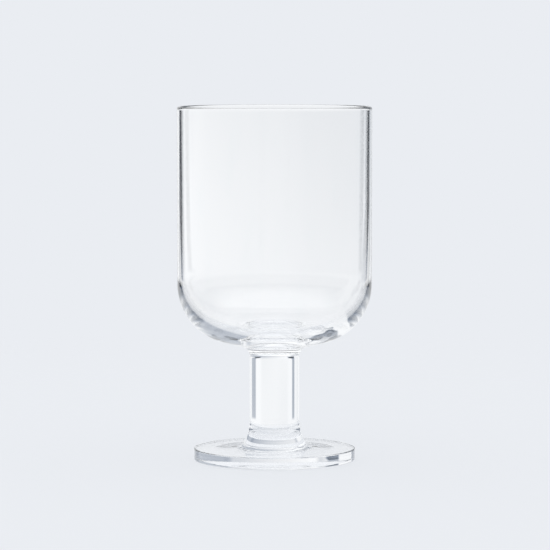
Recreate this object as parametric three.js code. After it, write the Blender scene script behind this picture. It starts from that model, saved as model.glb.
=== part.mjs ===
// A clear glass goblet: a straight-sided bowl with a thick rounded base, a short solid stem and a flat disc foot.
// The three pieces of glass are joined hot, end to end, so each joint is a pair of flat faces that touch.
// Millimetres, +Z up, with the origin at the centre of the foot's underside.

import * as THREE from 'three';

// Driving dimensions, in millimetres and degrees

// Foot: a disc with rounded edges and a shallow hollow underneath, so that it stands on a ring
const FOOT_DIAMETER = 66.4;
const FOOT_THICKNESS = 4.8;
const FOOT_EDGE_RADIUS = 0.4;
const FOOT_HOLLOW_DIAMETER = 50;
const FOOT_HOLLOW_DEPTH = 0.5;

// Stem: a solid column that flares out to the foot and is filleted to the bowl
const STEM_DIAMETER = 20.5;
const STEM_RISE = 40.4; // from the top of the disc to the face that carries the bowl
const FLARE_WIDTH = 5.5;
const FLARE_HEIGHT = 12;
const FLARE_JOINT_ANGLE = 64; // how far up the flare, from the disc, the foot's glass meets the stem's
const FILLET_RADIUS = 4.4;
const FILLET_JOINT_ANGLE = 38; // how far round the fillet, from the stem, the stem's glass meets the bowl's

// Bowl: a cylinder with a rounded corner over a gently sloping base, and a dished floor inside
const BOWL_DIAMETER = 80;
const BOWL_HEIGHT = 100.3; // from the face that rests on the stem to the lip
const BOWL_CORNER_RADIUS = 24.5;
const BASE_SLOPE = 14;
const LIP_THICKNESS = 1.6;
const WALL_THICKNESS = 2.1; // where the inside starts to round in
const FLOOR_THICKNESS = 6.5; // on the axis, above the face that rests on the stem
const FLOOR_SLOPE = 12; // where the dished floor meets the inside corner
const INSIDE_CORNER_RADIUS = 21.5;

// Fineness of the turned surfaces
const SIDES = 64;
const CHORD_ERROR = 0.04; // how far a facet may lie inside the true arc of a profile
const HOLLOW_STEPS = 4;

// Places worked out from the dimensions above

const footRadius = FOOT_DIAMETER / 2;
const hollowRadius = FOOT_HOLLOW_DIAMETER / 2;
const stemRadius = STEM_DIAMETER / 2;
const bowlRadius = BOWL_DIAMETER / 2;
const flareCentreRadius = stemRadius + FLARE_WIDTH;
const flareTop = FOOT_THICKNESS + FLARE_HEIGHT;
const filletCentreRadius = stemRadius + FILLET_RADIUS;
const bowlSeat = FOOT_THICKNESS + STEM_RISE;
const filletCentre = bowlSeat - FILLET_RADIUS * Math.sin(radians(FILLET_JOINT_ANGLE));
const lip = bowlSeat + BOWL_HEIGHT;
const bowlFloor = bowlSeat + FLOOR_THICKNESS;

function radians(degrees) {
  return (degrees * Math.PI) / 180;
}

// The angle in radians whose chord lies CHORD_ERROR inside an arc of this radius
function chordAngle(radius) {
  return 2 * Math.acos(1 - CHORD_ERROR / radius);
}

// Points on an elliptical arc in the plane of the profile, where x is the radius and y the height.
// The number of steps is even, so that the middle of the arc is one of its points.
function arc(centre, radiusAcross, radiusUp, fromDegrees, toDegrees) {
  const start = radians(fromDegrees);
  const sweep = radians(toDegrees - fromDegrees);
  const chord = chordAngle(Math.max(radiusAcross, radiusUp));
  const steps = 2 * Math.ceil(Math.abs(sweep) / chord / 2);
  const points = [];
  for (let step = 0; step <= steps; step += 1) {
    const angle = start + (sweep * step) / steps;
    const across = centre.x + radiusAcross * Math.cos(angle);
    const up = centre.y + radiusUp * Math.sin(angle);
    points.push(new THREE.Vector2(across, up));
  }
  return points;
}

// The concave flare between disc and stem: 0 degrees lies on the disc and 90 degrees on the stem
function flare(fromDegrees, toDegrees) {
  const centre = new THREE.Vector2(flareCentreRadius, flareTop);
  return arc(centre, FLARE_WIDTH, FLARE_HEIGHT, -90 - fromDegrees, -90 - toDegrees);
}

// The concave fillet between stem and bowl: 0 degrees lies on the stem
function fillet(fromDegrees, toDegrees) {
  const centre = new THREE.Vector2(filletCentreRadius, filletCentre);
  return arc(centre, FILLET_RADIUS, FILLET_RADIUS, 180 - fromDegrees, 180 - toDegrees);
}

// The flat end face of a piece, from the edge of a profile point in to the axis
function onAxis(point) {
  return new THREE.Vector2(0, point.y);
}

// The shallow hollow under the foot, from its crown on the axis out to the standing ring
function hollow() {
  const points = [];
  for (let step = 0; step <= HOLLOW_STEPS; step += 1) {
    const share = step / HOLLOW_STEPS;
    points.push(new THREE.Vector2(hollowRadius * share, FOOT_HOLLOW_DEPTH * (1 - share * share)));
  }
  return points;
}

function footProfile() {
  const edge = Math.min(FOOT_EDGE_RADIUS, FOOT_THICKNESS / 2);
  const lowerEdge = new THREE.Vector2(footRadius - edge, edge);
  const upperEdge = new THREE.Vector2(footRadius - edge, FOOT_THICKNESS - edge);
  const collar = flare(0, FLARE_JOINT_ANGLE);
  return [
    ...hollow(),
    ...arc(lowerEdge, edge, edge, -90, 0),
    ...arc(upperEdge, edge, edge, 0, 90),
    ...collar,
    onAxis(collar.at(-1)),
  ];
}

function stemProfile() {
  const lowerEnd = flare(FLARE_JOINT_ANGLE, 90);
  const upperEnd = fillet(0, FILLET_JOINT_ANGLE);
  return [onAxis(lowerEnd[0]), ...lowerEnd, ...upperEnd, onAxis(upperEnd.at(-1))];
}

// The inside of the bowl from the foot of its wall to the axis: a corner that runs smoothly into a dished floor
function bowlInside() {
  const slope = radians(FLOOR_SLOPE);
  const cornerRadius = INSIDE_CORNER_RADIUS;
  const cornerCentre = new THREE.Vector2(bowlRadius - WALL_THICKNESS - cornerRadius, 0);
  const floorRadius = (cornerCentre.x + cornerRadius * Math.sin(slope)) / Math.sin(slope);
  const floorCentre = new THREE.Vector2(0, bowlFloor + floorRadius);
  cornerCentre.y = floorCentre.y - (floorRadius - cornerRadius) * Math.cos(slope);
  const corner = arc(cornerCentre, cornerRadius, cornerRadius, 0, FLOOR_SLOPE - 90);
  const floor = arc(floorCentre, floorRadius, floorRadius, FLOOR_SLOPE - 90, -90);
  return [...corner, ...floor.slice(1)];
}

function bowlProfile() {
  const slope = radians(BASE_SLOPE);
  const neck = fillet(FILLET_JOINT_ANGLE, 90 - BASE_SLOPE);
  const baseStart = neck.at(-1);
  // The corner keeps to the room between the neck and the wall
  const widestCorner = (bowlRadius - baseStart.x) / (1 - Math.sin(slope));
  const cornerRadius = Math.min(BOWL_CORNER_RADIUS, widestCorner);
  const cornerCentre = new THREE.Vector2(bowlRadius - cornerRadius, 0);
  const baseUnderCentre = baseStart.y + (cornerCentre.x - baseStart.x) * Math.tan(slope);
  cornerCentre.y = baseUnderCentre + cornerRadius / Math.cos(slope);
  const lipRadius = LIP_THICKNESS / 2;
  const lipCentre = new THREE.Vector2(bowlRadius - lipRadius, lip - lipRadius);
  return [
    onAxis(neck[0]),
    ...neck,
    ...arc(cornerCentre, cornerRadius, cornerRadius, BASE_SLOPE - 90, 0),
    ...arc(lipCentre, lipRadius, lipRadius, 0, 180),
    ...bowlInside(),
  ];
}

function clearGlass() {
  return new THREE.MeshStandardMaterial({
    color: 0xeaeef2,
    roughness: 0.03,
    metalness: 0,
    transparent: true,
    opacity: 0.35,
  });
}

// A closed solid turned about the Z axis from a profile that starts and ends on that axis
function turned(name, profile) {
  const geometry = new THREE.LatheGeometry(profile, SIDES);
  geometry.rotateX(Math.PI / 2);
  const mesh = new THREE.Mesh(geometry, clearGlass());
  mesh.name = name;
  return mesh;
}

const goblet = new THREE.Group();
goblet.add(turned('foot', footProfile()));
goblet.add(turned('stem', stemProfile()));
goblet.add(turned('bowl', bowlProfile()));

export default goblet;
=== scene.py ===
"""Looks for a clear glass goblet.

Three pieces of turned glass, a bowl, a stem and a foot, stand in for the solids of the same names.
They stand on a plain pale floor in soft studio light.
"""

import math
from collections import namedtuple

import bmesh
import bpy
from mathutils import Matrix, Vector


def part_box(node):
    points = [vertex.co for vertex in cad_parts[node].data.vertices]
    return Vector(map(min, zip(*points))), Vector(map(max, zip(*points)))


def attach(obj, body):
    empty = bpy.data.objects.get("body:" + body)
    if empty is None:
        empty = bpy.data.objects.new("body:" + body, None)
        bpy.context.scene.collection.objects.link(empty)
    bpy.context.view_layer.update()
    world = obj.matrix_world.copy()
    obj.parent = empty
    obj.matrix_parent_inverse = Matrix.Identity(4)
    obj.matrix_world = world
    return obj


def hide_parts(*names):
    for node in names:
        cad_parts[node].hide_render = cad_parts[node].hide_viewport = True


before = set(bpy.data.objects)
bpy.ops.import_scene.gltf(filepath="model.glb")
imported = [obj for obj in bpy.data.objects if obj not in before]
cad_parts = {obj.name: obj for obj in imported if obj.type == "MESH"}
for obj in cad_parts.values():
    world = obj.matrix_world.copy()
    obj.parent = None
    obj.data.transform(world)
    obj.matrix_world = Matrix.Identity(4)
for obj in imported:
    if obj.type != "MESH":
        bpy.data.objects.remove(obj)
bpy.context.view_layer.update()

bl_info = {
    "name": "Glass Goblet",
    "version": (1, 0, 0),
    "blender": (4, 5, 0),
    "location": "3D View > Sidebar > Goblet",
    "description": "Makes the bowl, stem and foot of a clear glass goblet, and a plain studio around it",
    "category": "Object",
}

FOOT_LOW, FOOT_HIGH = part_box("foot")
BOWL_LOW, BOWL_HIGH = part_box("bowl")
SENSOR_WIDTH = 36.0  # millimetres
QUARTER_TURN = math.pi / 2


# Sizes, finish and studio settings


def length(name, description, default):
    """A size of the goblet in metres."""
    return bpy.props.FloatProperty(
        name=name,
        description=description,
        default=default,
        min=0.0,
        precision=5,
        unit="LENGTH",
        subtype="DISTANCE",
    )


def angle(name, description, degrees):
    """An angle, given in degrees and kept in radians."""
    return bpy.props.FloatProperty(
        name=name, description=description, default=math.radians(degrees), unit="ROTATION", subtype="ANGLE"
    )


def level(name, description, default):
    """A brightness or a share, where 1 is white or all of it."""
    return bpy.props.FloatProperty(
        name=name, description=description, default=default, min=0.0, subtype="FACTOR"
    )


def tint(name, description, default):
    """A linear colour."""
    return bpy.props.FloatVectorProperty(
        name=name, description=description, default=default, size=3, min=0.0, max=1.0, subtype="COLOR"
    )


class GobletSizes(bpy.types.PropertyGroup):
    """The goblet's sizes, in metres."""

    foot_diameter: length("Foot diameter", "Across the disc", FOOT_HIGH.x - FOOT_LOW.x)
    foot_thickness: length("Foot thickness", "Of the disc at its edge", 0.0048)
    foot_edge: length("Foot edge radius", "Rounding of the disc's two edges", 0.0004)
    hollow_diameter: length("Hollow diameter", "Of the shallow hollow under the foot", 0.05)
    hollow_depth: length("Hollow depth", "At the middle of the foot", 0.0005)
    stem_diameter: length("Stem diameter", "Of the straight column", 0.0205)
    flare_width: length("Flare width", "How far the stem spreads on to the disc", 0.0055)
    flare_height: length("Flare height", "From the disc to the straight column", 0.012)
    foot_joint: length("Foot joint height", "Where the foot's glass meets the stem's", FOOT_HIGH.z)
    fillet_radius: length("Fillet radius", "Between the stem and the bowl", 0.0044)
    fillet_joint: angle("Fillet joint", "How far round the fillet the stem's glass meets the bowl's", 38)
    bowl_joint: length("Bowl joint height", "Where the stem's glass meets the bowl's", BOWL_LOW.z)
    bowl_diameter: length("Bowl diameter", "Across the straight wall", BOWL_HIGH.x - BOWL_LOW.x)
    lip_height: length("Lip height", "From the table to the lip", BOWL_HIGH.z)
    lip_thickness: length("Lip thickness", "Of the rounded lip", 0.0016)
    wall_thickness: length("Wall thickness", "Where the inside starts to round in", 0.0021)
    corner_radius: length("Corner radius", "Of the bowl's outside corner", 0.0245)
    base_slope: angle("Base slope", "Of the bowl's underside", 14)
    floor_thickness: length("Floor thickness", "On the axis, above the bowl's joint", 0.0065)
    floor_slope: angle("Floor slope", "Where the dished floor meets the inside corner", 12)
    inside_radius: length("Inside corner radius", "Of the bowl's inside corner", 0.0215)
    sides: bpy.props.IntProperty(name="Sides", description="Faces round the goblet", default=256, min=32)


class GobletFinish(bpy.types.PropertyGroup):
    """The look of the glass."""

    clear: tint("Clear glass", "Colour of the glass where it is clearest", (1.0, 1.0, 1.0))
    streak: tint("Streaks", "Colour of the faint streaks in the glass", (0.99, 0.995, 0.995))
    refraction: bpy.props.FloatProperty(
        name="Refraction", description="Index of the glass", default=1.5, min=1.0
    )
    ripple: length("Ripple", "Height of the faint waves that blowing leaves", 0.000005)
    polish: level("Polish", "Roughness of the least polished places", 0.012)


class GobletStudio(bpy.types.PropertyGroup):
    """The floor, the light and the camera."""

    backdrop: tint("Backdrop", "Colour behind the goblet", (0.823, 0.847, 0.888))
    floor: tint("Floor", "Colour of the floor", (0.9, 0.9, 0.9))
    floor_shadow: level("Floor shadow", "Share of the floor's own shading that is kept", 0.14)
    light: tint("Light", "Colour of the light", (0.965, 0.98, 1.0))
    dusk: tint("Dusk", "Colour of the dimmest places in the studio", (0.6, 0.75, 1.0))
    table_level: level("Table", "Brightness of the table through the glass", 1.0)
    backdrop_level: level("Lit backdrop", "Brightness of the backdrop through the glass", 0.95)
    room_level: level("Room", "Brightness of the room at eye height", 0.34)
    overhead_level: level("Overhead", "Brightness of the soft light overhead", 1.35)
    reflector_level: level("Reflector", "Brightness of the reflector on the left", 1.0)
    gap_level: level("Gaps", "Brightness of the dark gaps beside the backdrop", 0.03)
    light_bounces: bpy.props.IntProperty(
        name="Light bounces", description="How often light may turn inside the glass", default=20, min=1
    )
    camera_distance: length("Camera distance", "From the goblet's axis", 1.25)
    camera_height: length("Camera height", "Above the table", 0.1722)
    aim_height: length("Aim height", "Where the camera looks on the axis", 0.0762)
    aim_side: length("Aim side", "How far right of the axis the camera stands and looks", 0.0002)
    focal_length: bpy.props.FloatProperty(
        name="Focal length",
        description=f"For a sensor {SENSOR_WIDTH:g} mm wide",
        default=199.4,
        min=1.0,
        unit="CAMERA",
    )


# Node trees


class Sum:
    """A number in a node tree, so that a formula is written as it reads."""

    def __init__(self, tree, socket):
        self.tree = tree
        self.socket = socket

    def math(self, operation, *values):
        """A Math node on this number and others."""
        return math_node(self.tree, operation, self, *values)

    def __add__(self, other):
        return self.math("ADD", other)

    def __sub__(self, other):
        return self.math("SUBTRACT", other)

    def __mul__(self, other):
        return self.math("MULTIPLY", other)

    def __truediv__(self, other):
        return self.math("DIVIDE", other)

    def __radd__(self, other):
        return math_node(self.tree, "ADD", other, self)

    def __rsub__(self, other):
        return math_node(self.tree, "SUBTRACT", other, self)

    def __rmul__(self, other):
        return math_node(self.tree, "MULTIPLY", other, self)

    def __neg__(self):
        return self.math("MULTIPLY", -1.0)

    def cos(self):
        return self.math("COSINE")

    def sin(self):
        return self.math("SINE")

    def rise(self, low, high):
        """0 below low and 1 above high, with a soft step between."""
        node = self.tree.nodes.new("ShaderNodeMapRange")
        node.interpolation_type = "SMOOTHSTEP"
        for socket, value in zip(node.inputs, (self, low, high)):
            feed(self.tree, socket, value)
        return Sum(self.tree, node.outputs[0])

    def between(self, low, high, soft):
        """1 from low to high and 0 elsewhere, with soft edges."""
        return self.rise(low - soft, low + soft) * (1.0 - self.rise(high - soft, high + soft))

    def towards(self, other, share):
        """This number where share is 0, and the other where it is 1."""
        return self + (other - self) * share


def feed(tree, socket, value):
    """Links a number to a socket, or sets the socket to a constant."""
    if isinstance(value, Sum):
        tree.links.new(value.socket, socket)
    else:
        socket.default_value = value


def math_node(tree, operation, *values):
    """A Math node."""
    node = tree.nodes.new("ShaderNodeMath")
    node.operation = operation
    for socket, value in zip(node.inputs, values):
        feed(tree, socket, value)
    return Sum(tree, node.outputs[0])


def placed(tree, kind, **settings):
    """A new node with its settings."""
    node = tree.nodes.new(kind)
    for name, value in settings.items():
        setattr(node, name, value)
    return node


class Profile:
    """The half outline of a turned piece, made of points. x is the radius and z the height."""

    def __init__(self, tree):
        self.tree = tree
        self.runs = []

    def run(self, count, place):
        """Adds count points. place gives the radius and height of the point with a given index."""
        tree = self.tree
        index = Sum(tree, tree.nodes.new("GeometryNodeInputIndex").outputs[0])
        radius, height = place(index)
        point = tree.nodes.new("ShaderNodeCombineXYZ")
        feed(tree, point.inputs["X"], radius)
        feed(tree, point.inputs["Z"], height)
        points = tree.nodes.new("GeometryNodePoints")
        points.inputs["Count"].default_value = count
        tree.links.new(point.outputs[0], points.inputs["Position"])
        order = placed(tree, "GeometryNodeStoreNamedAttribute", data_type="FLOAT", domain="POINT")
        order.inputs["Name"].default_value = "order"
        feed(tree, order.inputs["Value"], index / count + float(len(self.runs)))
        tree.links.new(points.outputs[0], order.inputs["Geometry"])
        self.runs.append(order.outputs[0])

    def axis(self, height):
        """A point on the axis."""
        self.run(1, lambda index: (0.0, height))

    def arc(self, centre, radii, start, end, steps, first=0):
        """Points on an arc about a centre, from one angle to another, that may leave out its first points."""

        def place(index):
            turn = start + (index + float(first)) * ((end - start) / float(steps))
            return centre[0] + radii[0] * turn.cos(), centre[1] + radii[1] * turn.sin()

        self.run(steps + 1 - first, place)

    def line(self, start, end, count):
        """Points inside a straight line, closest together at its ends to keep its shading straight."""

        def place(index):
            share = 0.5 - 0.5 * ((index + 1.0) * (math.pi / (count + 1))).cos()
            return start[0] + (end[0] - start[0]) * share, start[1] + (end[1] - start[1]) * share

        self.run(count, place)

    def points(self):
        """All the points in order."""
        tree = self.tree
        joined = tree.nodes.new("GeometryNodeJoinGeometry")
        for run in self.runs:
            tree.links.new(run, joined.inputs[0])
        order = placed(tree, "GeometryNodeInputNamedAttribute", data_type="FLOAT")
        order.inputs["Name"].default_value = "order"
        ordered = placed(tree, "GeometryNodeSortElements", domain="POINT")
        tree.links.new(joined.outputs[0], ordered.inputs["Geometry"])
        tree.links.new(order.outputs["Attribute"], ordered.inputs["Sort Weight"])
        return ordered.outputs[0]


# Outlines and turning

# Steps along each arc, and points between the ends of each straight line
HOLLOW_STEPS = 16
RING_POINTS = 6
EDGE_STEPS = 8
RIM_POINTS = 4
DISC_POINTS = 8
LOWER_FLARE_STEPS = 32
UPPER_FLARE_STEPS = 16
COLUMN_POINTS = 10
FILLET_STEPS = 16
BASE_POINTS = 4
CORNER_STEPS = 56
WALL_POINTS = 14
LIP_STEPS = 16
FLOOR_STEPS = 24

SHARP_EDGE = math.radians(30)
WELD = 1e-6  # metres, closes the seam and the poles of a turned mesh


def foot_profile(profile, size):
    """From the middle of the hollow underneath, round the edge of the disc and up the flare to the stem."""
    rim = size["Foot Diameter"] / 2.0
    edge = size["Foot Edge Radius"]
    thickness = size["Foot Thickness"]
    hollow = size["Hollow Diameter"] / 2.0
    width = size["Flare Width"]
    height = size["Flare Height"]
    joint = size["Foot Joint Height"]
    inner = size["Stem Diameter"] / 2.0 + width
    flare_top = thickness + height
    up_flare = ((flare_top - joint) / height).math("ARCCOSINE")

    def under(index):
        share = index / HOLLOW_STEPS
        return hollow * share, size["Hollow Depth"] * (1.0 - share * share)

    profile.run(HOLLOW_STEPS + 1, under)
    profile.line((hollow, 0.0), (rim - edge, 0.0), RING_POINTS)
    profile.arc((rim - edge, edge), (edge, edge), -QUARTER_TURN, 0.0, EDGE_STEPS)
    profile.line((rim, edge), (rim, thickness - edge), RIM_POINTS)
    profile.arc((rim - edge, thickness - edge), (edge, edge), 0.0, QUARTER_TURN, EDGE_STEPS)
    profile.line((rim - edge, thickness), (inner, thickness), DISC_POINTS)
    flare_end = -QUARTER_TURN - up_flare
    profile.arc((inner, flare_top), (width, height), -QUARTER_TURN, flare_end, LOWER_FLARE_STEPS)
    profile.axis(joint)


def stem_profile(profile, size):
    """From the joint on the foot, up the straight column and round the fillet to the joint under the bowl."""
    width = size["Flare Width"]
    height = size["Flare Height"]
    radius = size["Stem Diameter"] / 2.0
    foot_joint = size["Foot Joint Height"]
    bowl_joint = size["Bowl Joint Height"]
    fillet = size["Fillet Radius"]
    turn = size["Fillet Joint Angle"]
    flare_top = size["Foot Thickness"] + height
    up_flare = ((flare_top - foot_joint) / height).math("ARCCOSINE")
    flare_start = -QUARTER_TURN - up_flare
    fillet_height = bowl_joint - fillet * turn.sin()
    centre = (radius + fillet, fillet_height)
    profile.axis(foot_joint)
    profile.arc((radius + width, flare_top), (width, height), flare_start, -math.pi, UPPER_FLARE_STEPS)
    profile.line((radius, flare_top), (radius, fillet_height), COLUMN_POINTS)
    profile.arc(centre, (fillet, fillet), math.pi, math.pi - turn, FILLET_STEPS)
    profile.axis(bowl_joint)


def bowl_profile(profile, size):
    """From the joint on the stem, round the outside, over the lip and down inside to the floor."""
    rim = size["Bowl Diameter"] / 2.0
    wall = size["Wall Thickness"]
    joint = size["Bowl Joint Height"]
    lip = size["Lip Height"]
    bead = size["Lip Thickness"] / 2.0
    fillet = size["Fillet Radius"]
    turn = size["Fillet Joint Angle"]
    slope = size["Base Slope"]
    corner = size["Corner Radius"]
    inside = size["Inside Corner Radius"]
    floor_slope = size["Floor Slope"]
    floor_edge = floor_slope - QUARTER_TURN
    neck = (size["Stem Diameter"] / 2.0 + fillet, joint - fillet * turn.sin())
    base = (neck[0] - fillet * slope.sin(), neck[1] + fillet * slope.cos())
    corner_across = rim - corner
    rise = (corner_across - base[0]) * slope.math("TANGENT") + corner / slope.cos()
    centre = (corner_across, base[1] + rise)
    foot_of_corner = (corner_across + corner * slope.sin(), centre[1] - corner * slope.cos())
    inside_across = rim - wall - inside
    dish = inside_across / floor_slope.sin() + inside
    dish_height = joint + size["Floor Thickness"] + dish
    inside_height = dish_height - (dish - inside) * floor_slope.cos()
    profile.axis(joint)
    profile.arc(neck, (fillet, fillet), math.pi - turn, QUARTER_TURN + slope, FILLET_STEPS)
    profile.line(base, foot_of_corner, BASE_POINTS)
    profile.arc(centre, (corner, corner), slope - QUARTER_TURN, 0.0, CORNER_STEPS)
    profile.line((rim, centre[1]), (rim, lip - bead), WALL_POINTS)
    profile.arc((rim - bead, lip - bead), (bead, bead), 0.0, math.pi, LIP_STEPS)
    profile.line((rim - bead * 2.0, lip - bead), (rim - wall, inside_height), WALL_POINTS)
    profile.arc((inside_across, inside_height), (inside, inside), 0.0, floor_edge, CORNER_STEPS)
    profile.arc((0.0, dish_height), (dish, dish), floor_edge, -QUARTER_TURN, FLOOR_STEPS, first=1)


def turned_tree(name, size_names, outline, joints):
    """A geometry node tree that turns an outline about the Z axis into closed glass with fused joints."""
    tree = bpy.data.node_groups.new(name, "GeometryNodeTree")
    for size_name, kind in size_names:
        socket = tree.interface.new_socket(size_name, in_out="INPUT", socket_type="NodeSocketFloat")
        socket.subtype = kind
    tree.interface.new_socket("Sides", in_out="INPUT", socket_type="NodeSocketInt")
    tree.interface.new_socket("Glass", in_out="INPUT", socket_type="NodeSocketMaterial")
    tree.interface.new_socket("Fused Joint", in_out="INPUT", socket_type="NodeSocketMaterial")
    tree.interface.new_socket("Geometry", in_out="OUTPUT", socket_type="NodeSocketGeometry")
    given = tree.nodes.new("NodeGroupInput")
    link = tree.links.new
    size = {size_name: Sum(tree, given.outputs[size_name]) for size_name, _ in size_names}
    profile = Profile(tree)
    outline(profile, size)
    points = profile.points()

    # A grid with one column of points for each side, each column a copy of the outline
    count = placed(tree, "GeometryNodeAttributeDomainSize", component="POINTCLOUD")
    link(points, count.inputs[0])
    tall = Sum(tree, count.outputs["Point Count"])
    sides = Sum(tree, given.outputs["Sides"])
    grid = tree.nodes.new("GeometryNodeMeshGrid")
    feed(tree, grid.inputs["Vertices X"], sides + 1.0)
    feed(tree, grid.inputs["Vertices Y"], tall)
    index = Sum(tree, tree.nodes.new("GeometryNodeInputIndex").outputs[0])
    column = (index / tall).math("FLOOR")
    outline_point = placed(tree, "GeometryNodeSampleIndex", data_type="FLOAT_VECTOR", domain="POINT")
    link(points, outline_point.inputs["Geometry"])
    link(tree.nodes.new("GeometryNodeInputPosition").outputs[0], outline_point.inputs["Value"])
    feed(tree, outline_point.inputs["Index"], index - column * tall)
    parts = tree.nodes.new("ShaderNodeSeparateXYZ")
    link(outline_point.outputs[0], parts.inputs[0])
    radius = Sum(tree, parts.outputs["X"])
    turn = column * (2 * math.pi) / sides
    place = tree.nodes.new("ShaderNodeCombineXYZ")
    feed(tree, place.inputs["X"], radius * turn.cos())
    feed(tree, place.inputs["Y"], radius * turn.sin())
    feed(tree, place.inputs["Z"], Sum(tree, parts.outputs["Z"]))
    turned = tree.nodes.new("GeometryNodeSetPosition")
    link(grid.outputs["Mesh"], turned.inputs["Geometry"])
    link(place.outputs[0], turned.inputs["Position"])
    closed = tree.nodes.new("GeometryNodeMergeByDistance")
    closed.inputs["Distance"].default_value = WELD
    link(turned.outputs[0], closed.inputs["Geometry"])

    # Smooth glass with crisp rims round the joint faces
    smooth = placed(tree, "GeometryNodeSetShadeSmooth", domain="FACE")
    link(closed.outputs[0], smooth.inputs[0])
    bend = tree.nodes.new("GeometryNodeInputMeshEdgeAngle")
    rims = Sum(tree, bend.outputs["Unsigned Angle"]).math("GREATER_THAN", SHARP_EDGE)
    crisp = placed(tree, "GeometryNodeSetShadeSmooth", domain="EDGE")
    crisp.inputs["Shade Smooth"].default_value = False
    link(smooth.outputs[0], crisp.inputs[0])
    feed(tree, crisp.inputs["Selection"], rims)

    real = tree.nodes.new("GeometryNodeRealizeInstances")
    link(crisp.outputs[0], real.inputs[0])
    glass = tree.nodes.new("GeometryNodeSetMaterial")
    link(real.outputs[0], glass.inputs["Geometry"])
    link(given.outputs["Glass"], glass.inputs["Material"])
    heights = tree.nodes.new("ShaderNodeSeparateXYZ")
    link(tree.nodes.new("GeometryNodeInputPosition").outputs[0], heights.inputs[0])
    away = None
    for joint in joints:
        gap = (Sum(tree, heights.outputs["Z"]) - size[joint]).math("ABSOLUTE")
        away = gap if away is None else away.math("MINIMUM", gap)
    joined = tree.nodes.new("GeometryNodeSetMaterial")
    link(glass.outputs[0], joined.inputs["Geometry"])
    link(given.outputs["Fused Joint"], joined.inputs["Material"])
    feed(tree, joined.inputs["Selection"], away.math("LESS_THAN", WELD))
    link(joined.outputs[0], tree.nodes.new("NodeGroupOutput").inputs[0])
    return tree


# Glass

# Patterns in the glass: waves in a metre, finer detail, and the step over which the pattern shows
STREAK_SCALE = 140.0
STREAK_DETAIL = 2.0
STREAK_SHOWS = (0.45, 0.75)
PATCH_SCALE = 60.0
PATCH_DETAIL = 3.0
PATCH_SHOWS = (0.4, 0.8)
RIPPLE_SCALE = 32.0
RIPPLE_DETAIL = 0.0


def noise(tree, where, scale, detail):
    """Soft noise from 0 to 1."""
    node = placed(tree, "ShaderNodeTexNoise", noise_dimensions="3D")
    node.inputs["Scale"].default_value = scale
    node.inputs["Detail"].default_value = detail
    tree.links.new(where, node.inputs["Vector"])
    return Sum(tree, node.outputs["Fac"])


def polish_group():
    """The shader group for hand-finished glass: faint streaks of colour, uneven polish and low ripples."""
    name = "Hand Polish"
    if name in bpy.data.node_groups:
        return bpy.data.node_groups[name]
    tree = bpy.data.node_groups.new(name, "ShaderNodeTree")
    for socket, kind in (
        ("Where", "NodeSocketVector"),
        ("Clear", "NodeSocketColor"),
        ("Streak", "NodeSocketColor"),
        ("Streak Stretch", "NodeSocketFloat"),
        ("Polish", "NodeSocketFloat"),
    ):
        tree.interface.new_socket(socket, in_out="INPUT", socket_type=kind)
    for socket, kind in (
        ("Color", "NodeSocketColor"),
        ("Roughness", "NodeSocketFloat"),
        ("Height", "NodeSocketFloat"),
    ):
        tree.interface.new_socket(socket, in_out="OUTPUT", socket_type=kind)
    given = tree.nodes.new("NodeGroupInput")
    given_out = tree.nodes.new("NodeGroupOutput")
    link = tree.links.new

    # Streaks drawn out along the axis
    parts = tree.nodes.new("ShaderNodeSeparateXYZ")
    link(given.outputs["Where"], parts.inputs[0])
    drawn = tree.nodes.new("ShaderNodeCombineXYZ")
    link(parts.outputs["X"], drawn.inputs["X"])
    link(parts.outputs["Y"], drawn.inputs["Y"])
    stretch = Sum(tree, given.outputs["Streak Stretch"])
    feed(tree, drawn.inputs["Z"], Sum(tree, parts.outputs["Z"]) / stretch)
    streaks = noise(tree, drawn.outputs[0], STREAK_SCALE, STREAK_DETAIL)
    shade = placed(tree, "ShaderNodeMix", data_type="RGBA")
    feed(tree, shade.inputs["Factor"], streaks.rise(*STREAK_SHOWS))
    link(given.outputs["Clear"], shade.inputs["A"])
    link(given.outputs["Streak"], shade.inputs["B"])
    link(shade.outputs["Result"], given_out.inputs["Color"])

    # Polish that is a little less even in patches
    patches = noise(tree, given.outputs["Where"], PATCH_SCALE, PATCH_DETAIL)
    uneven = patches.rise(*PATCH_SHOWS) * Sum(tree, given.outputs["Polish"])
    link(uneven.socket, given_out.inputs["Roughness"])

    # Low, broad ripples
    ripples = noise(tree, drawn.outputs[0], RIPPLE_SCALE, RIPPLE_DETAIL)
    link(ripples.socket, given_out.inputs["Height"])
    return tree


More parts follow.
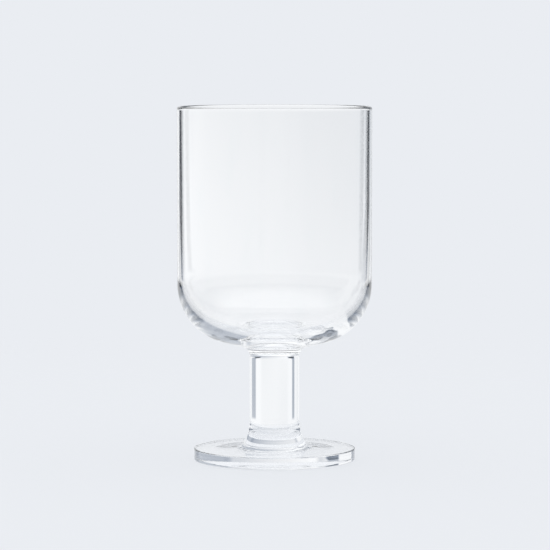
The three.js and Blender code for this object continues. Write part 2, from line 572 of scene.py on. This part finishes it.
def clear_glass(name, finish, stretch, ripple, polish):
    """Clear glass. stretch draws its streaks out along the axis; ripple and polish scale the finish's own."""
    material = bpy.data.materials.new(name)
    material.use_nodes = True
    tree = material.node_tree
    tree.nodes.clear()
    link = tree.links.new
    out = tree.nodes.new("ShaderNodeOutputMaterial")
    glass = tree.nodes.new("ShaderNodeBsdfPrincipled")
    glass.inputs["Metallic"].default_value = 0.0
    glass.inputs["Transmission Weight"].default_value = 1.0
    glass.inputs["IOR"].default_value = finish.refraction
    where = tree.nodes.new("ShaderNodeTexCoord")
    hand = tree.nodes.new("ShaderNodeGroup")
    hand.node_tree = polish_group()
    hand.inputs["Clear"].default_value = (*finish.clear, 1.0)
    hand.inputs["Streak"].default_value = (*finish.streak, 1.0)
    hand.inputs["Streak Stretch"].default_value = stretch
    hand.inputs["Polish"].default_value = finish.polish * polish
    link(where.outputs["Object"], hand.inputs["Where"])
    link(hand.outputs["Color"], glass.inputs["Base Color"])
    link(hand.outputs["Roughness"], glass.inputs["Roughness"])
    bump = tree.nodes.new("ShaderNodeBump")
    bump.inputs["Strength"].default_value = 1.0
    bump.inputs["Distance"].default_value = finish.ripple * ripple
    link(hand.outputs["Height"], bump.inputs["Height"])
    link(bump.outputs["Normal"], glass.inputs["Normal"])
    link(glass.outputs[0], out.inputs["Surface"])
    return material


def fused_joint():
    """The inside of a joint, where glass runs on into glass and light passes straight through."""
    name = "fused_joint"
    if name in bpy.data.materials:
        return bpy.data.materials[name]
    material = bpy.data.materials.new(name)
    material.use_nodes = True
    shader = material.node_tree.nodes["Principled BSDF"]
    shader.inputs["Alpha"].default_value = 0.0
    return material


# Pieces

SIZE_SOCKETS = {
    "Foot Diameter": ("foot_diameter", "DISTANCE"),
    "Foot Thickness": ("foot_thickness", "DISTANCE"),
    "Foot Edge Radius": ("foot_edge", "DISTANCE"),
    "Hollow Diameter": ("hollow_diameter", "DISTANCE"),
    "Hollow Depth": ("hollow_depth", "DISTANCE"),
    "Stem Diameter": ("stem_diameter", "DISTANCE"),
    "Flare Width": ("flare_width", "DISTANCE"),
    "Flare Height": ("flare_height", "DISTANCE"),
    "Foot Joint Height": ("foot_joint", "DISTANCE"),
    "Fillet Radius": ("fillet_radius", "DISTANCE"),
    "Fillet Joint Angle": ("fillet_joint", "ANGLE"),
    "Bowl Joint Height": ("bowl_joint", "DISTANCE"),
    "Bowl Diameter": ("bowl_diameter", "DISTANCE"),
    "Lip Height": ("lip_height", "DISTANCE"),
    "Lip Thickness": ("lip_thickness", "DISTANCE"),
    "Wall Thickness": ("wall_thickness", "DISTANCE"),
    "Corner Radius": ("corner_radius", "DISTANCE"),
    "Base Slope": ("base_slope", "ANGLE"),
    "Floor Thickness": ("floor_thickness", "DISTANCE"),
    "Floor Slope": ("floor_slope", "ANGLE"),
    "Inside Corner Radius": ("inside_radius", "DISTANCE"),
}


def turned_piece(name, sizes, size_names, outline, joints, glass):
    """A closed mesh turned from an outline, with its geometry node tree applied."""
    sockets = [(size_name, SIZE_SOCKETS[size_name][1]) for size_name in size_names]
    tree = turned_tree(f"Turned {name.title()}", sockets, outline, joints)
    piece = bpy.data.objects.new(f"{name}_glass", bpy.data.meshes.new(f"{name}_glass"))
    bpy.context.scene.collection.objects.link(piece)
    modifier = piece.modifiers.new("Turned Glass", "NODES")
    modifier.node_group = tree
    values = {size_name: getattr(sizes, SIZE_SOCKETS[size_name][0]) for size_name in size_names}
    values.update({"Sides": sizes.sides, "Glass": glass, "Fused Joint": fused_joint()})
    for item in tree.interface.items_tree:
        if item.in_out == "INPUT":
            modifier[item.identifier] = values[item.name]
    depsgraph = bpy.context.evaluated_depsgraph_get()
    finished = bpy.data.meshes.new_from_object(piece.evaluated_get(depsgraph), depsgraph=depsgraph)
    finished.name = f"{name}_glass"
    piece.modifiers.clear()
    piece.data = finished
    check_closed(piece)
    return piece


def check_closed(piece):
    """Stops the script if a turned mesh is open or inside out."""
    shape = bmesh.new()
    shape.from_mesh(piece.data)
    open_edges = sum(not edge.is_manifold for edge in shape.edges)
    volume = shape.calc_volume(signed=True)
    shape.free()
    if open_edges or volume <= 0:
        raise RuntimeError(f"{piece.name} has {open_edges} open edges and a volume of {volume}")


def take_place(piece, node):
    """The piece stands for the solid of that name and moves with it."""
    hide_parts(node)
    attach(piece, "root")


class GOBLET_OT_make_foot(bpy.types.Operator):
    """Make the glass foot: a disc with a hollow underneath and a flare that meets the stem"""

    bl_idname = "goblet.make_foot"
    bl_label = "Make Foot"

    def execute(self, context):
        names = ("Foot Diameter", "Foot Thickness", "Foot Edge Radius", "Hollow Diameter", "Hollow Depth")
        names += ("Stem Diameter", "Flare Width", "Flare Height", "Foot Joint Height")
        glass = clear_glass("foot_glass", context.scene.goblet_finish, stretch=1.0, ripple=0.8, polish=1.0)
        sizes = context.scene.goblet_sizes
        foot = turned_piece("foot", sizes, names, foot_profile, ["Foot Joint Height"], glass)
        take_place(foot, "foot")
        return {"FINISHED"}


class GOBLET_OT_make_stem(bpy.types.Operator):
    """Make the solid glass stem with its fillet under the bowl"""

    bl_idname = "goblet.make_stem"
    bl_label = "Make Stem"

    def execute(self, context):
        names = ("Foot Thickness", "Stem Diameter", "Flare Width", "Flare Height", "Foot Joint Height")
        names += ("Fillet Radius", "Fillet Joint Angle", "Bowl Joint Height")
        glass = clear_glass("stem_glass", context.scene.goblet_finish, stretch=5.0, ripple=0.5, polish=0.5)
        joints = ["Foot Joint Height", "Bowl Joint Height"]
        stem = turned_piece("stem", context.scene.goblet_sizes, names, stem_profile, joints, glass)
        take_place(stem, "stem")
        return {"FINISHED"}


class GOBLET_OT_make_bowl(bpy.types.Operator):
    """Make the glass bowl with its thick rounded base and fire-polished lip"""

    bl_idname = "goblet.make_bowl"
    bl_label = "Make Bowl"

    def execute(self, context):
        names = ("Stem Diameter", "Fillet Radius", "Fillet Joint Angle", "Bowl Joint Height", "Bowl Diameter")
        names += ("Lip Height", "Lip Thickness", "Wall Thickness", "Corner Radius", "Base Slope")
        names += ("Floor Thickness", "Floor Slope", "Inside Corner Radius")
        glass = clear_glass("bowl_glass", context.scene.goblet_finish, stretch=4.0, ripple=1.0, polish=0.7)
        sizes = context.scene.goblet_sizes
        bowl = turned_piece("bowl", sizes, names, bowl_profile, ["Bowl Joint Height"], glass)
        take_place(bowl, "bowl")
        return {"FINISHED"}


# Studio

# The studio is painted by direction from the goblet, in degrees. A side of 0 lies behind the goblet, -90 on
# its left and 180 towards the camera. A height of 0 is level. A pair of directions is a soft step, which
# starts at the first and is complete at the second. Shades and glows are shares of white.

# The table, dimmer far to the sides and near the foot, and in reflections also on the right and in front
RIGHT_STARTS = (30.0, 60.0)
RIGHT_ENDS = (130.0, 175.0)
RIGHT_SHADE = 0.5
FRONT_STARTS = (100.0, 160.0)
FRONT_SHADE = 0.12
FAR_STARTS = (60.0, 100.0)
FAR_SHADE = 0.08
NEAR_STARTS = (20.0, 40.0)  # below level
NEAR_SHADE = 0.1

# The room above the table, with two paler panels, and dimmer on the sides for light that leaves through the
# glass. A panel has a left edge, a right edge and the softness of both.
ROOM_RIGHT_GLOW = 0.1  # in reflections
ROOM_SIDES_START = (55.0, 75.0)
ROOM_SIDES_SHADE = 0.14
LEFT_PANEL = (-38.0, -24.0, 3.0)
LEFT_PANEL_GLOW = 0.5
RIGHT_PANEL = (25.0, 62.0, 4.0)
RIGHT_PANEL_GLOW = 0.2
HORIZON = (-5.0, 1.0)
HORIZON_LIFT = (3.0, 6.0)  # of the two ends of the horizon's step, on the sides
HORIZON_LIFT_STARTS = (50.0, 70.0)

# The backdrop, brighter on the left and low down
BACKDROP_ENDS = (20.0, 27.0)
SLANT = 0.008  # for each degree
SLANT_REACH = 18.0
SLANT_STARTS = (-7.0, -3.0)
MIDDLE_STARTS = (-6.0, 0.0)
MIDDLE_SHADE = 0.08
TOP_STARTS = (8.0, 18.0)
TOP_SHADE = 0.15

# The reflector on the left, which comes closer to the backdrop at its top
REFLECTOR_LEFT = -66.0
REFLECTOR_RIGHT = -32.0
REFLECTOR_SOFT = 2.0
REFLECTOR_STARTS = (-12.0, -4.0)
REFLECTOR_CLOSER = 6.0
REFLECTOR_CLOSER_STARTS = (8.0, 13.0)

# The dark gaps. Each bends and narrows by so many degrees for each degree below and above the bend.
Gap = namedtuple("Gap", "side half_width bend_below narrows_below bend_above narrows_above top")
LEFT_GAP = Gap(
    side=-31.0,
    half_width=8.5,
    bend_below=-3.4,
    narrows_below=2.3,
    bend_above=-0.35,
    narrows_above=0.25,
    top=9.0,
)
RIGHT_GAP = Gap(
    side=32.0,
    half_width=7.5,
    bend_below=7.5,
    narrows_below=-1.0,
    bend_above=0.0,
    narrows_above=0.0,
    top=1.0,
)
GAP_BEND = -4.0
GAP_BEND_DEPTH = 2.0
GAP_BOTTOM = -8.0
GAP_SOFT_ENDS = 1.5
GAP_SOFT_SIDES = 0.25  # of half the width
GAP_PALES = (4.5, 6.0)  # below level
GAP_PALER = 0.5
LEFT_GAP_PALES = (-1.0, 2.0)
LEFT_GAP_PALER = 0.35
LEFT_GAP_DARKENS = (4.0, 7.0)
LEFT_GAP_DARKER = 0.2

# The light overhead, which starts higher above the backdrop
OVERHEAD_STARTS = (24.0, 52.0)
OVERHEAD_STARTS_BEHIND = (44.0, 60.0)

DEGREES = 180 / math.pi  # in a radian


class Outlook:
    """A direction from the goblet, in degrees, and the kind of ray that looks there."""

    def __init__(self, tree):
        where = tree.nodes.new("ShaderNodeTexCoord")
        parts = tree.nodes.new("ShaderNodeSeparateXYZ")
        tree.links.new(where.outputs["Generated"], parts.inputs[0])
        across, back, up = (Sum(tree, parts.outputs[axis]) for axis in "XYZ")
        rays = tree.nodes.new("ShaderNodeLightPath")
        self.side = across.math("ARCTAN2", back) * DEGREES
        self.aside = self.side.math("ABSOLUTE")
        self.height = up.math("ARCSINE") * DEGREES
        self.behind = 1.0 - self.aside.rise(*BACKDROP_ENDS)
        self.through = Sum(tree, rays.outputs["Is Transmission Ray"])
        self.camera = Sum(tree, rays.outputs["Is Camera Ray"])


def table_and_room(studio, look):
    """Brightness of the table and of the dim room above it."""
    side, aside, height = look.side, look.aside, look.height
    reflected = 1.0 - look.through
    right = side.rise(*RIGHT_STARTS) * (1.0 - side.rise(*RIGHT_ENDS)) * reflected
    front = aside.rise(*FRONT_STARTS) * reflected
    shade = FAR_SHADE * aside.rise(*FAR_STARTS) + NEAR_SHADE * (-height).rise(*NEAR_STARTS)
    table = studio.table_level - RIGHT_SHADE * right - FRONT_SHADE * front - shade
    room = studio.room_level + ROOM_RIGHT_GLOW * right
    room = room - ROOM_SIDES_SHADE * aside.rise(*ROOM_SIDES_START) * look.through
    room = room + RIGHT_PANEL_GLOW * side.between(*RIGHT_PANEL)
    room = room + LEFT_PANEL_GLOW * side.between(*LEFT_PANEL)
    lift = aside.rise(*HORIZON_LIFT_STARTS)
    low, high = (end_lift * lift + end for end_lift, end in zip(HORIZON_LIFT, HORIZON))
    return table.towards(room, height.rise(low, high))


def lit_backdrop(studio, look):
    """Brightness of the backdrop."""
    height = look.height
    slant = look.side.math("MAXIMUM", -SLANT_REACH).math("MINIMUM", SLANT_REACH) * SLANT
    slanted = studio.backdrop_level - slant * height.rise(*SLANT_STARTS)
    return slanted - MIDDLE_SHADE * height.rise(*MIDDLE_STARTS) - TOP_SHADE * height.rise(*TOP_STARTS)


def left_reflector(look):
    """1 on the reflector and 0 elsewhere."""
    right = REFLECTOR_CLOSER * look.height.rise(*REFLECTOR_CLOSER_STARTS) + REFLECTOR_RIGHT
    across = look.side.between(REFLECTOR_LEFT, right, REFLECTOR_SOFT)
    return across * look.height.rise(*REFLECTOR_STARTS)


def dark_gaps(look):
    """1 in the gaps beside the backdrop, which spread apart below and then run straight down, paler."""
    height = look.height
    drop = (GAP_BEND - height).math("MAXIMUM", 0.0).math("MINIMUM", GAP_BEND_DEPTH)
    climb = (height - GAP_BEND).math("MAXIMUM", 0.0)

    def inside(gap):
        off = look.side - gap.side - gap.bend_below * drop - gap.bend_above * climb
        half_width = gap.half_width - gap.narrows_below * drop - gap.narrows_above * climb
        across = (off / half_width).between(-1.0, 1.0, GAP_SOFT_SIDES)
        return across * height.between(GAP_BOTTOM, gap.top, GAP_SOFT_ENDS)

    left = 1.0 - LEFT_GAP_PALER * height.rise(*LEFT_GAP_PALES)
    left = inside(LEFT_GAP) * (left + LEFT_GAP_DARKER * height.rise(*LEFT_GAP_DARKENS))
    either = left.math("MAXIMUM", inside(RIGHT_GAP))
    return either * (1.0 - GAP_PALER * (-height).rise(*GAP_PALES))


def light_overhead(look):
    """1 in the soft light overhead and 0 elsewhere."""
    height = look.height
    return height.rise(*OVERHEAD_STARTS).towards(height.rise(*OVERHEAD_STARTS_BEHIND), look.behind)


def studio_world(studio):
    """A soft studio all round, and a plain backdrop for the camera."""
    world = bpy.data.worlds.new("Studio")
    world.use_nodes = True
    tree = world.node_tree
    tree.nodes.clear()
    link = tree.links.new
    look = Outlook(tree)
    brightness = table_and_room(studio, look)
    brightness = brightness.towards(lit_backdrop(studio, look), look.behind)
    brightness = brightness.towards(studio.reflector_level, left_reflector(look))
    brightness = brightness.towards(studio.gap_level, dark_gaps(look))
    brightness = brightness.towards(studio.overhead_level, light_overhead(look))

    colour = placed(tree, "ShaderNodeMix", data_type="RGBA")
    feed(tree, colour.inputs["Factor"], brightness.rise(0.0, 1.0))
    colour.inputs["A"].default_value = (*studio.dusk, 1.0)
    colour.inputs["B"].default_value = (*studio.light, 1.0)
    around = tree.nodes.new("ShaderNodeBackground")
    link(colour.outputs["Result"], around.inputs["Color"])
    link(brightness.socket, around.inputs["Strength"])
    plain = tree.nodes.new("ShaderNodeBackground")
    plain.inputs["Color"].default_value = (*studio.backdrop, 1.0)
    mix = tree.nodes.new("ShaderNodeMixShader")
    link(look.camera.socket, mix.inputs[0])
    link(around.outputs[0], mix.inputs[1])
    link(plain.outputs[0], mix.inputs[2])
    out = tree.nodes.new("ShaderNodeOutputWorld")
    link(mix.outputs[0], out.inputs["Surface"])
    return world


# The floor, in metres
FLOOR_RADIUS = 0.6
FLOOR_SIDES = 96
FLOOR_DROP = 0.0003  # clear of the foot
FLOOR_FADES = (0.2, 0.55)
FLOOR_FADES_IN_GLASS = (0.04, 0.08)
FLOOR_GLOW_IN_GLASS = 0.1  # a share of its brightness


def studio_floor(studio):
    """A pale floor that fades into the backdrop and keeps the goblet's shadow."""
    shape = bmesh.new()
    bmesh.ops.create_circle(shape, cap_ends=True, segments=FLOOR_SIDES, radius=FLOOR_RADIUS)
    mesh = bpy.data.meshes.new("floor")
    shape.to_mesh(mesh)
    shape.free()
    mesh.transform(Matrix.Translation((0.0, 0.0, -FLOOR_DROP)))
    floor = bpy.data.objects.new("floor", mesh)
    bpy.context.scene.collection.objects.link(floor)
    material = bpy.data.materials.new("pale_floor")
    material.use_nodes = True
    tree = material.node_tree
    tree.nodes.clear()
    link = tree.links.new
    where = tree.nodes.new("ShaderNodeTexCoord")
    far = placed(tree, "ShaderNodeVectorMath", operation="LENGTH")
    link(where.outputs["Object"], far.inputs[0])
    rays = tree.nodes.new("ShaderNodeLightPath")
    camera = Sum(tree, rays.outputs["Is Camera Ray"])
    through = Sum(tree, rays.outputs["Is Transmission Ray"])
    glass = Sum(tree, rays.outputs["Is Glossy Ray"]).math("MAXIMUM", through)

    matt = tree.nodes.new("ShaderNodeBsdfDiffuse")
    matt.inputs["Color"].default_value = (*studio.floor, 1.0)
    lit = tree.nodes.new("ShaderNodeEmission")
    lit.inputs["Color"].default_value = (*studio.backdrop, 1.0)
    feed(tree, lit.inputs["Strength"], 1.0 + FLOOR_GLOW_IN_GLASS * glass)
    shown = tree.nodes.new("ShaderNodeMixShader")
    feed(tree, shown.inputs[0], camera.math("MAXIMUM", glass) * (1.0 - studio.floor_shadow))
    link(matt.outputs[0], shown.inputs[1])
    link(lit.outputs[0], shown.inputs[2])
    gone = tree.nodes.new("ShaderNodeBsdfTransparent")
    mix = tree.nodes.new("ShaderNodeMixShader")
    away = Sum(tree, far.outputs["Value"])
    faded_in_glass = glass * away.rise(*FLOOR_FADES_IN_GLASS)
    feed(tree, mix.inputs[0], away.rise(*FLOOR_FADES).math("MAXIMUM", faded_in_glass))
    link(shown.outputs[0], mix.inputs[1])
    link(gone.outputs[0], mix.inputs[2])
    out = tree.nodes.new("ShaderNodeOutputMaterial")
    link(mix.outputs[0], out.inputs["Surface"])
    mesh.materials.append(material)
    return floor


SPARE_BOUNCES = 8  # for light that goes on through the glass
NEAREST_VIEW = 0.05  # metres from the camera


def light_paths(studio):
    """Lets light take the long ways round inside thick glass."""
    paths = bpy.context.scene.cycles
    paths.max_bounces = studio.light_bounces + SPARE_BOUNCES
    paths.glossy_bounces = studio.light_bounces
    paths.transmission_bounces = studio.light_bounces + SPARE_BOUNCES
    paths.transparent_max_bounces = studio.light_bounces


def studio_camera(studio):
    """The camera at the photograph's place."""
    camera = bpy.data.objects.new("camera", bpy.data.cameras.new("camera"))
    bpy.context.scene.collection.objects.link(camera)
    camera.data.sensor_width = SENSOR_WIDTH
    camera.data.lens = studio.focal_length
    camera.data.clip_start = NEAREST_VIEW
    camera.location = (studio.aim_side, -studio.camera_distance, studio.camera_height)
    aim = Vector((studio.aim_side, 0.0, studio.aim_height)) - camera.location
    camera.rotation_euler = aim.to_track_quat("-Z", "Y").to_euler()
    bpy.context.scene.camera = camera
    return camera


class GOBLET_OT_make_stage(bpy.types.Operator):
    """Make the plain floor, the soft studio light and the camera"""

    bl_idname = "goblet.make_stage"
    bl_label = "Make Stage"

    def execute(self, context):
        studio = context.scene.goblet_studio
        context.scene.world = studio_world(studio)
        studio_floor(studio)
        light_paths(studio)
        studio_camera(studio)
        context.scene.view_settings.view_transform = "Standard"
        return {"FINISHED"}


class GOBLET_PT_goblet(bpy.types.Panel):
    """The goblet's sizes, finish and studio"""

    bl_idname = "GOBLET_PT_goblet"
    bl_label = "Glass Goblet"
    bl_space_type = "VIEW_3D"
    bl_region_type = "UI"
    bl_category = "Goblet"

    def draw(self, context):
        for title, settings in (
            ("Sizes", context.scene.goblet_sizes),
            ("Glass", context.scene.goblet_finish),
            ("Studio", context.scene.goblet_studio),
        ):
            box = self.layout.box()
            box.label(text=title)
            for name in type(settings).__annotations__:
                box.prop(settings, name)
        for operator in OPERATORS:
            self.layout.operator(operator.bl_idname)


OPERATORS = (GOBLET_OT_make_foot, GOBLET_OT_make_stem, GOBLET_OT_make_bowl, GOBLET_OT_make_stage)
CLASSES = (GobletSizes, GobletFinish, GobletStudio, *OPERATORS, GOBLET_PT_goblet)


def register():
    for cls in CLASSES:
        bpy.utils.register_class(cls)
    bpy.types.Scene.goblet_sizes = bpy.props.PointerProperty(type=GobletSizes)
    bpy.types.Scene.goblet_finish = bpy.props.PointerProperty(type=GobletFinish)
    bpy.types.Scene.goblet_studio = bpy.props.PointerProperty(type=GobletStudio)


def unregister():
    del bpy.types.Scene.goblet_studio
    del bpy.types.Scene.goblet_finish
    del bpy.types.Scene.goblet_sizes
    for cls in reversed(CLASSES):
        bpy.utils.unregister_class(cls)


def main():
    """Makes the goblet and its stage."""
    register()
    bpy.ops.goblet.make_foot()
    bpy.ops.goblet.make_stem()
    bpy.ops.goblet.make_bowl()
    bpy.ops.goblet.make_stage()


if __name__ == "__main__":
    main()
